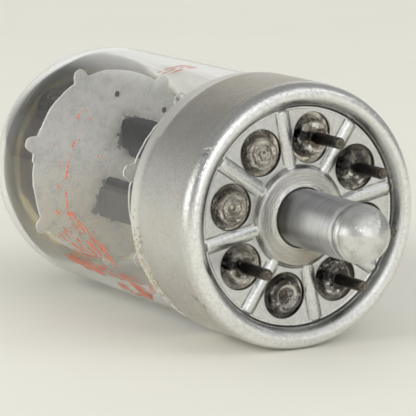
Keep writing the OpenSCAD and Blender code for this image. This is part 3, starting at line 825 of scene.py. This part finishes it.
def dome(r0, ln, p, n):
    out = []
    for i in range(n + 1):
        t = math.pi / 2 * i / n
        out.append((r0 * math.cos(t) ** (2 / p), ZD - ln * math.sin(t) ** (2 / p)))
    out[-1] = (0.0, ZD - ln)
    return out


bulb_out = [(RB, z) for z in np.linspace(-3.4, -39.6, 14)] + dome(RB, 13.7, 2.04, 44)
bulb_in = dome(RI, 13.0, 2.04, 40)[::-1] + [(RI, z) for z in np.linspace(-39.6, -3.4, 14)]
rv, rf = [], []
n = 160
t = np.arange(n) * 2 * math.pi / n
rings = [np.array([[0, 0, z]]) if r < 1e-6 else np.stack([r * np.cos(t), r * np.sin(t), np.full(n, z)], 1) for r, z in bulb_out]
v1, f1 = rings_mesh(rings, closed=False)
rings2 = [np.array([[0, 0, z]]) if r < 1e-6 else np.stack([r * np.cos(t), r * np.sin(t), np.full(n, z)], 1) for r, z in bulb_in]
v2, f2 = rings_mesh(rings2, closed=False)
bv, bf = join((v1, f1), (v2, f2))
last = len(bv) - n
bf += [[i, (i + 1) % n, last + (i + 1) % n, last + i] for i in range(n)]
piece("bulb", (bv, bf), glass_mat(), ["glass_bulb"], 60)

film = [(r - 0.02, z + 0.0) for r, z in [(RI, -41.6), (RI, -41.2)][:0] + dome(RI - 0.0, 13.0, 2.04, 60) if z < -42.0]
film[-1] = (0.0, film[-1][1] + 0.02)
back = [(max(r - 0.05, 0.0), z + (0.05 if r < 4 else 0.02)) for r, z in film][::-1]
back[0] = (0.0, film[-1][1] + 0.05)
fr = [np.array([[0, 0, z]]) if r < 1e-6 else np.stack([r * np.cos(t), r * np.sin(t), np.full(n, z)], 1) for r, z in film + back]
v3, f3 = rings_mesh(fr, closed=False)
last = len(v3) - n
f3 += [[i, (i + 1) % n, last + (i + 1) % n, last + i] for i in range(n)]
piece("getter_film", (v3, f3), film_mat(), (), 60)

# ---------------------------------------------------------------- micas
TEETH = [122.6, 73.2, 24, -28.3, -80.6, -132.9, -185.1]


def mica(name, z, holes, material, node, frosted):
    # outline in polar form: disc with rounded teeth
    a = np.radians(np.arange(0, 360, 0.5))
    r = np.full(len(a), 11.33) + 0.04 * np.sin(5 * a + z) + 0.03 * np.sin(9 * a)
    r = r + 0.07 * fbm(np.stack([9 * np.cos(a), 9 * np.sin(a), 0 * a + z], 1), 3, 12)
    if frosted:
        r = r - 0.34 * np.exp(-((a - math.radians(86)) / 0.45) ** 2) + 0.12 * np.exp(-((a - math.radians(130)) / 0.2) ** 2)
    for j, deg in enumerate(TEETH):
        deg = -34 if frosted and j == 3 else deg
        d = (a - math.radians(deg) + math.pi) % (2 * math.pi) - math.pi
        s = d * 12.0
        w = 0.80 + 0.08 * math.sin(3.1 * j)
        tooth = 12.5 - 0.55 * (np.abs(s) / w) ** 3.0
        r = np.maximum(r, smax(tooth, np.full(len(a), 11.2), 0.5) * (np.abs(s) < 2.2))
    r = np.minimum(r, 12.52)
    x, y = r * np.cos(a), r * np.sin(a)
    rings = []
    for k, zz in ((0.0, -0.15), (1, -0.15), (1, 0.15), (0.0, 0.15)):
        rings.append(np.stack([x * k, y * k, np.full(len(a), z + zz)], 1) if k else np.array([[0, 0, z + zz]]))
    inset = lambda q, zz: np.stack([x * q, y * q, np.full(len(a), z + zz)], 1)
    rings = [rings[0], inset(0.985, -0.15), inset(0.997, -0.12), inset(1, -0.05), inset(1, 0.05), inset(0.997, 0.12), inset(0.985, 0.15), rings[3]]
    ob = raw(name, rings_mesh(rings, closed=False))
    cut = []
    for hx, hy, hr in holes:
        v, f = solid([(hr, z - 1), (hr, z + 1)], 24)
        cut.append((np.array(v) + [hx, hy, 0], f))
    boolean(ob, raw("holes", join(*cut)), "DIFFERENCE")
    v = verts_of(ob)
    rr = np.hypot(v[:, 0], v[:, 1])
    ang = np.arctan2(v[:, 1], v[:, 0]) % (2 * math.pi)
    outline = np.interp(ang, np.append(a, 2 * math.pi), np.append(r, r[0]))
    e = sstep(0.99, 0.997, rr / outline)
    attribute(ob, "edge", e)
    return settle(ob, material, [node], 50)


def asm(x, y):
    return (AX + x * math.cos(TURN) - y * math.sin(TURN), AY + x * math.sin(TURN) + y * math.cos(TURN))


def rod(s, u):
    c = asm(s * PX, 0)
    return (c[0] + u * (1.3 if u == s else RX), c[1])


common = [(*asm(s * PX, 0), 0.84) for s in (-1, 1)] + [(*rod(s, u), 0.37) for s in (-1, 1) for u in (-1, 1)]
mica("mica_top", -40.0, common + [(8.44, -0.27, 0.4), (6.2, -6.76, 0.4)], mica_mat("mica_frosted", True), "top_mica", True)
mica("mica_bottom", -16.6, common + [(8.44, -0.27, 0.4)], mica_mat("mica_clear", False), "bottom_mica", False)

# ---------------------------------------------------------------- electrodes
blk, gry = plate_mat("plate_black", (0.004, 0.004, 0.004), (0.012, 0.012, 0.0115)), plate_mat("plate_grey", (0.045, 0.045, 0.047), (0.085, 0.085, 0.087))
wire = wire_mat()


def dress(node, material):
    o = nodes[node]
    o.data.materials.clear()
    o.data.materials.append(material)


for k in range(1, 5):
    dress(f"plate_rod_{k}", wire)
sleeve = coated_mat("cathode_coat", (0.72, 0.71, 0.67))
hot = coated_mat("heater_coat", (0.80, 0.80, 0.77))
for k in (1, 2):
    dress(f"cathode_sleeve_{k}", sleeve)
    dress(f"heater_{k}", hot)
strip = wire_mat("nickel_strip", (0.60, 0.59, 0.56))
dress("cathode_tie", strip)
dress("heater_link", strip)
dress("getter_post", wire)
dress("getter_ring", getter_mat())



def plate(name, s, material, node):
    """box sleeve with rounded corners, a crimped seam on the inner side, beads across and a folded far end"""
    n = 144
    t = np.arange(n) * 2 * math.pi / n
    c, sn = np.cos(t), np.sin(t)

    def box(a, b, q):
        return (np.abs(c / a) ** q + np.abs(sn / b) ** q) ** (-1 / q)
    d = -s * 2.3 * c
    disc = 0.6 ** 2 - (2.3 * sn) ** 2
    seam = np.where((disc > 0) & (d > 0), d + np.sqrt(np.clip(disc, 0, None)), 0)
    cx, cy = asm(s * PX, 0)
    rings = []

    def ring(r, z):
        wig = 1 + 0.006 * np.sin(3 * t + z * 2.1) + 0.004 * np.sin(7 * t - z * 3)
        return np.stack([cx + r * wig * c, cy + r * wig * sn, np.full(n, z)], 1)
    zs = list(np.arange(-39.85, -37.0, 0.09)) + list(np.arange(-37.0, -16.9, 0.33)) + [-16.78]
    for z in zs:
        g = sum(np.exp(-((z - zz) / 0.22) ** 2) for zz in (-34.8, -28.3, -21.9))
        fold = 0.13 * (0.5 - 0.5 * math.cos((z + 39.85) * 2 * math.pi / 0.62)) * (z < -37.99)
        a = 1.80 + 0.03 * g
        outer = np.maximum(box(a, 1.52 + 0.10 * g + fold, 7.0), seam)
        rings.append(ring(outer, float(z)))
    rings.append(ring(np.minimum(box(1.70, 1.42, 7.0), 3.0), -16.75))
    for z in (-16.8, -24.0, -32.0, -39.8):
        rings.append(ring(box(1.65, 1.40, 7.0), z))
    rings.append(ring(box(1.70, 1.42, 7.0), -39.88 + 0.03))
    ob = raw(name, rings_mesh(rings, closed=True))
    v = verts_of(ob)
    attribute(ob, "inward", sstep(1.45, 1.95, -s * ((v[:, 0] - cx) * math.cos(TURN) + (v[:, 1] - cy) * math.sin(TURN))))
    return settle(ob, material, [node], 40)


plate("plate_upper", 1, blk, "plate_1")
plate("plate_lower", -1, gry, "plate_2")

zb = -16.6
rod_end, heat_end = zb - 0.15 + 1.5, zb + 2.6
for name, k, q, z1, z2 in (("lead_plate_1", 0, rod(1, 1), rod_end + 2.4, rod_end), ("lead_plate_2", 5, rod(-1, -1), rod_end + 2.4, rod_end),
                           ("lead_cathode", 1, asm(3.2, -0.95), zb + 3.6, zb + 1.1), ("lead_heater_a", 2, asm(PX + 0.28, 0), heat_end + 3.2, heat_end),
                           ("lead_heater_b", 3, asm(-PX - 0.28, 0), heat_end + 3.2, heat_end)):
    a = pin_angle(k)
    p = np.array([RP * math.cos(a), RP * math.sin(a)])
    q = np.array(q)
    pts = [(*p, -5.6), (*p, -6.3), (*(p * 0.985 + q * 0.015), -7.0), (*(p * 0.5 + q * 0.5), (-7.0 + z1) / 2), (*(q * 0.985 + p * 0.015), z1), (*q, z1 - 0.7), (*q, z2)]
    piece(name + "_wire", sweep(spline(pts, 0.25), 0.3, 12), wire, [name], 60)

# ---------------------------------------------------------------- cement at the lip
parts = []
n = 360
t = np.arange(n) * 2 * math.pi / n
nz = fbm(np.stack([7 * np.cos(t), 7 * np.sin(t), 0 * t], 1), 4, 3)
proud = 0.10 + 0.10 * np.clip(nz, -1, 1)
low = np.exp(-((np.degrees(t) - 118) / 30) ** 2)
rings = []
for r, z, k in ((14.01, -8.8, 0), (14.18, -8.8, 0), (14.05, -11.35, 0), (14.10, -11.5, 0.25), (14.13, -11.52, 1.0), (14.08, -11.56, 1.3), (14.01, -11.55, 1.5)):
    zz = z - k * proud * (0.8 + 0.9 * low)
    rr = np.full(n, r)
    rings.append(np.stack([rr * np.cos(t), rr * np.sin(t), zz], 1))
parts.append(rings_mesh(rings, closed=True))
ico = bmesh.new()
bmesh.ops.create_icosphere(ico, subdivisions=2, radius=1.0)
iv = np.array([v.co for v in ico.verts])
ifc = [[v.index for v in f.verts] for f in ico.faces]
ico.free()
for i in range(150):
    deg = float(np.clip(rng.normal(116, 13), 88, 150))
    z = float(np.clip(rng.normal(-10.2 + (deg - 116) * 0.01, 0.65), -11.45, -8.7))
    r = 14.65 - 0.25 * max(0, -9.05 - z) / 2.45
    s = float(rng.uniform(0.04, 0.13))
    v = iv * [s, s * rng.uniform(0.8, 1.9), s * rng.uniform(0.8, 1.6)] * (1 + 0.35 * fbm(iv * 1.6 + i, 2, 9))[:, None]
    v[:, 0] *= 0.5
    a = math.radians(deg)
    parts.append((turned(v + [r, 0, z], a), ifc))
piece("cement_bead", join(*parts), cement_mat(), ["base_cement"], 60)

# ---------------------------------------------------------------- worn red marks on the glass
cell = 0.07


def flakes(shapes, seed, keep):
    """thin closed flakes on the bulb where keep(u, v) says so; u runs round the bulb in mm, v along z"""
    vs, fs, index = [], [], {}
    u0, u1, z0, z1 = shapes
    nu, nz_ = int((u1 - u0) / cell), int((z1 - z0) / cell)
    uu, zz = np.meshgrid(u0 + (np.arange(nu) + 0.5) * cell, z0 + (np.arange(nz_) + 0.5) * cell, indexing="ij")
    mask = keep(uu.ravel(), zz.ravel()).reshape(nu, nz_)
    for _ in range(6):                      # cells that meet only at a corner get a neighbour
        a, b, c, d = mask[:-1, :-1], mask[1:, 1:], mask[1:, :-1], mask[:-1, 1:]
        one, two = a & b & ~c & ~d, c & d & ~a & ~b
        mask[1:, :-1] |= one
        mask[:-1, :-1] |= two

    def vert(i, j, k):
        key = (i, j, k)
        if key not in index:
            index[key] = len(vs)
            a = (u0 + i * cell) / 14.0
            r = 14.004 + 0.022 * k
            vs.append((r * math.cos(a), r * math.sin(a), z0 + j * cell))
        return index[key]
    for i, j in zip(*np.nonzero(mask)):
        q = [(i, j), (i + 1, j), (i + 1, j + 1), (i, j + 1)]
        fs.append([vert(*p, 1) for p in q])
        fs.append([vert(*p, 0) for p in q[::-1]])
        for (a, b), (di, dj) in zip(zip(q, q[1:] + q[:1]), ((0, -1), (1, 0), (0, 1), (-1, 0))):
            x, y = i + di, j + dj
            if not (0 <= x < nu and 0 <= y < nz_ and mask[x, y]):
                fs.append([vert(*a, 1), vert(*a, 0), vert(*b, 0), vert(*b, 1)])
    return vs, fs


def worn(u, z, seed, amount, size=1.6):
    p = np.stack([u * size, z * size, np.full(len(u), seed * 3.7)], 1)
    return fbm(p, 4, seed) > amount


def bar(u, z, cu, cz, half_u, half_z, lean=0.0):
    du, dz = u - cu, z - cz
    du = du - lean * dz
    return (np.abs(du) < half_u) & (np.abs(dz) < half_z)


def rad_mm(deg):
    return math.radians(deg) * 14.0


def keep_a(u, z):
    """fine lines round the bulb, mostly rubbed off, and a sprinkle of flecks"""
    out = np.zeros(len(u), bool)
    for z0, w, gone, seed in ((-28.8, 0.13, 0.30, 41), (-27.0, 0.18, 0.10, 42), (-26.1, 0.10, 0.40, 43)):
        out |= (np.abs(z - z0 - 0.05 * np.sin(u * 0.7 + seed)) < w * (1 + 0.35 * value_noise(np.stack([u * 2, z, 0 * u], 1), seed))) \
            & (value_noise(np.stack([u * 0.33, 0 * u, 0 * u + seed], 1), seed) > gone - 0.25) & worn(u, z, seed, -0.12 + gone * 0.5, 2.4)
    fleck = worn(u, z, 31, 1.08, 1.3)
    return out | (fleck & (np.abs(z + 26) < 6))


def keep_b(u, z):
    """a rubbed patch low on the side"""
    a = (u - rad_mm(117)) / 4.6
    b = (z + 26.5) / 6.5
    inside = a * a + b * b < 1 + 0.5 * fbm(np.stack([u * 0.5, z * 0.5, 0 * u], 1), 3, 8)
    scrape = value_noise(np.stack([(u - 0.55 * z) * 4.6, (z + 0.55 * u) * 0.34, 0 * u], 1), 27) > 0.02
    c = (u - rad_mm(138) + 0.25 * (z + 20)) / 2.2
    d = (z + 20.0) / 5.5
    inside |= c * c + d * d < 1 + 0.5 * fbm(np.stack([u * 0.6, z * 0.6, 0 * u], 1), 3, 18)
    q = np.stack([(u - 0.55 * z) * 2.0, (z + 0.55 * u) * 0.5, 0 * u + 4.4], 1)
    return inside & scrape & (fbm(q, 3, 17) > -0.05) & worn(u, z, 19, -0.35, 0.6)


def keep_c(u, z):
    """a few faint dashes on the upper side"""
    out = np.zeros(len(u), bool)
    for z0, w, seed in ((-22.9, 0.12, 51), (-21.9, 0.10, 52), (-20.8, 0.13, 53)):
        out |= (np.abs(z - z0 - 0.12 * np.sin(u * 1.1 + seed)) < w) & worn(u, z, seed, -0.05, 2.2)
    return out


reds = join(flakes((rad_mm(50), rad_mm(104), -32.5, -19.5), 1, keep_a), flakes((rad_mm(94), rad_mm(152), -34.5, -13.0), 2, keep_b),
            flakes((rad_mm(2), rad_mm(18), -23.8, -20.0), 3, keep_c))
piece("red_marks", reds, red_mat(), (), 60)

# ---------------------------------------------------------------- floor, light, camera
def floor():
    n, half = 60, 3.0
    g = np.linspace(-half, half, n + 1)
    verts = [(x, y + 0.5, -0.00002) for x in g for y in g]
    faces = [(i * (n + 1) + j, (i + 1) * (n + 1) + j, (i + 1) * (n + 1) + j + 1, i * (n + 1) + j + 1) for i in range(n) for j in range(n)]
    me = bpy.data.meshes.new("floor")
    me.from_pydata(verts, [], faces)
    ob = bpy.data.objects.new("floor", me)
    bpy.context.scene.collection.objects.link(ob)
    m = Mat("floor_paper")
    a = m.noise(0.012, 4, 0.6)
    b = m.noise(0.9, 4, 0.7)
    c = m.mix(m.remap(a, 0.3, 0.7, 0, 1), (0.86, 0.85, 0.775), (0.84, 0.825, 0.75))
    ob.data.materials.append(m.set(c, 0.0, 0.75, m.bump(b, 0.08, 0.05)))


floor()


def area(name, direction, dist, w, h, radiance, color=(1, 1, 1)):
    d = Vector(direction).normalized()
    li = bpy.data.lights.new(name, "AREA")
    li.shape = "RECTANGLE"
    li.size, li.size_y = w, h
    li.energy = radiance * math.pi * w * h
    li.color = color
    ob = bpy.data.objects.new(name, li)
    ob.location = d * dist + Vector((0, 0, 0.02))
    ob.rotation_mode = "QUATERNION"
    ob.rotation_quaternion = d.to_track_quat("Z", "Y")
    ob.visible_camera = False
    bpy.context.scene.collection.objects.link(ob)
    return ob

def toward(az, el):
    """unit vector; azimuth 0 is the front (-Y), positive to the right (+X)"""
    az, el = math.radians(az), math.radians(el)
    return (math.sin(az) * math.cos(el), -math.cos(az) * math.cos(el), math.sin(el))


area("fill_front", toward(25, 36), 2.0, 1.2, 1.2, 1.25, (1.0, 1.0, 0.99)).visible_glossy = False
area("fill_low", toward(-36, 13), 2.0, 1.2, 1.2, 2.8, (1.0, 1.0, 0.99)).visible_glossy = False
area("fill_side", toward(-92, 24), 2.0, 1.1, 1.1, 5.6, (1.0, 0.995, 0.97)).visible_glossy = False
area("fill_top", toward(160, 80), 2.0, 2.2, 2.2, 0.34, (1.0, 1.0, 0.99)).visible_glossy = False

world = bpy.data.worlds.new("studio")
bpy.context.scene.world = world
world.use_nodes = True
wn = world.node_tree
bg = wn.nodes["Background"]
tc = wn.nodes.new("ShaderNodeTexCoord")
sx = wn.nodes.new("ShaderNodeSeparateXYZ")
wn.links.new(tc.outputs["Generated"], sx.inputs[0])
rp = wn.nodes.new("ShaderNodeValToRGB")
wn.links.new(sx.outputs[2], rp.inputs[0])
rp.color_ramp.elements[0].position = 0.0
rp.color_ramp.elements[0].color = (0.37, 0.37, 0.355, 1)
rp.color_ramp.elements[1].position = 0.85
rp.color_ramp.elements[1].color = (0.345, 0.345, 0.335, 1)
total = rp.outputs[0]
# soft boxes as smooth lobes: azimuth, elevation, full within, gone beyond, brightness
for az, el, full, gone, power, tint in ((-106, 8, 13, 23, 1.5, (1.0, 1.0, 0.98)), (-10, 14, 10, 26, 1.1, (1.0, 1.0, 1.0)),
                                        (-2, 42, 8, 30, 0.60, (1.0, 1.0, 1.0)), (44, 42, 6, 26, 0.52, (1.0, 1.0, 1.0)),
                                        (31, 12, 8, 22, 0.52, (1.0, 1.0, 1.0)), (-38, 26, 1.5, 3.5, 10.0, (1.0, 1.0, 1.0)), (64, 30, 1.5, 3.5, 8.0, (1.0, 1.0, 1.0)),
                                        (-150, 3, 7, 24, 0.28, (1.0, 1.0, 0.97)), (151, 13, 11, 27, 0.50, (1.0, 1.0, 0.96))):
    dt = wn.nodes.new("ShaderNodeVectorMath")
    dt.operation = "DOT_PRODUCT"
    wn.links.new(tc.outputs["Generated"], dt.inputs[0])
    dt.inputs[1].default_value = toward(az, el)
    mr = wn.nodes.new("ShaderNodeMapRange")
    mr.interpolation_type = "SMOOTHSTEP"
    wn.links.new(dt.outputs["Value"], mr.inputs["Value"])
    mr.inputs["From Min"].default_value = math.cos(math.radians(gone))
    mr.inputs["From Max"].default_value = math.cos(math.radians(full))
    mr.inputs["To Max"].default_value = 1.0
    mx = wn.nodes.new("ShaderNodeMix")
    mx.data_type, mx.blend_type, mx.clamp_result = "RGBA", "ADD", False
    wn.links.new(mr.outputs["Result"], mx.inputs["Factor"])
    wn.links.new(total, mx.inputs[6])
    mx.inputs[7].default_value = (*(power * q for q in tint), 1)
    total = mx.outputs[2]
wn.links.new(total, bg.inputs[0])
bg.inputs[1].default_value = 1.0

cam = bpy.data.cameras.new("camera")
cam.sensor_width, cam.sensor_fit = 36.0, "HORIZONTAL"
cam.lens = 258.5
cam.clip_start, cam.clip_end = 0.01, 20.0
co = bpy.data.objects.new("camera", cam)
right, up, back = (0.85808448, -0.51350854, 0.0000473), (0.08981142, 0.15016762, 0.9845728), (-0.50559364, -0.84484239, 0.17497544)
co.matrix_world = Matrix(((right[0], up[0], back[0], -0.17151092), (right[1], up[1], back[1], -0.28721241),
                          (right[2], up[2], back[2], 0.07201934), (0, 0, 0, 1)))
bpy.context.scene.collection.objects.link(co)
bpy.context.scene.camera = co
bpy.context.scene.view_settings.view_transform = "Standard"
bpy.context.scene.view_settings.look = "None"
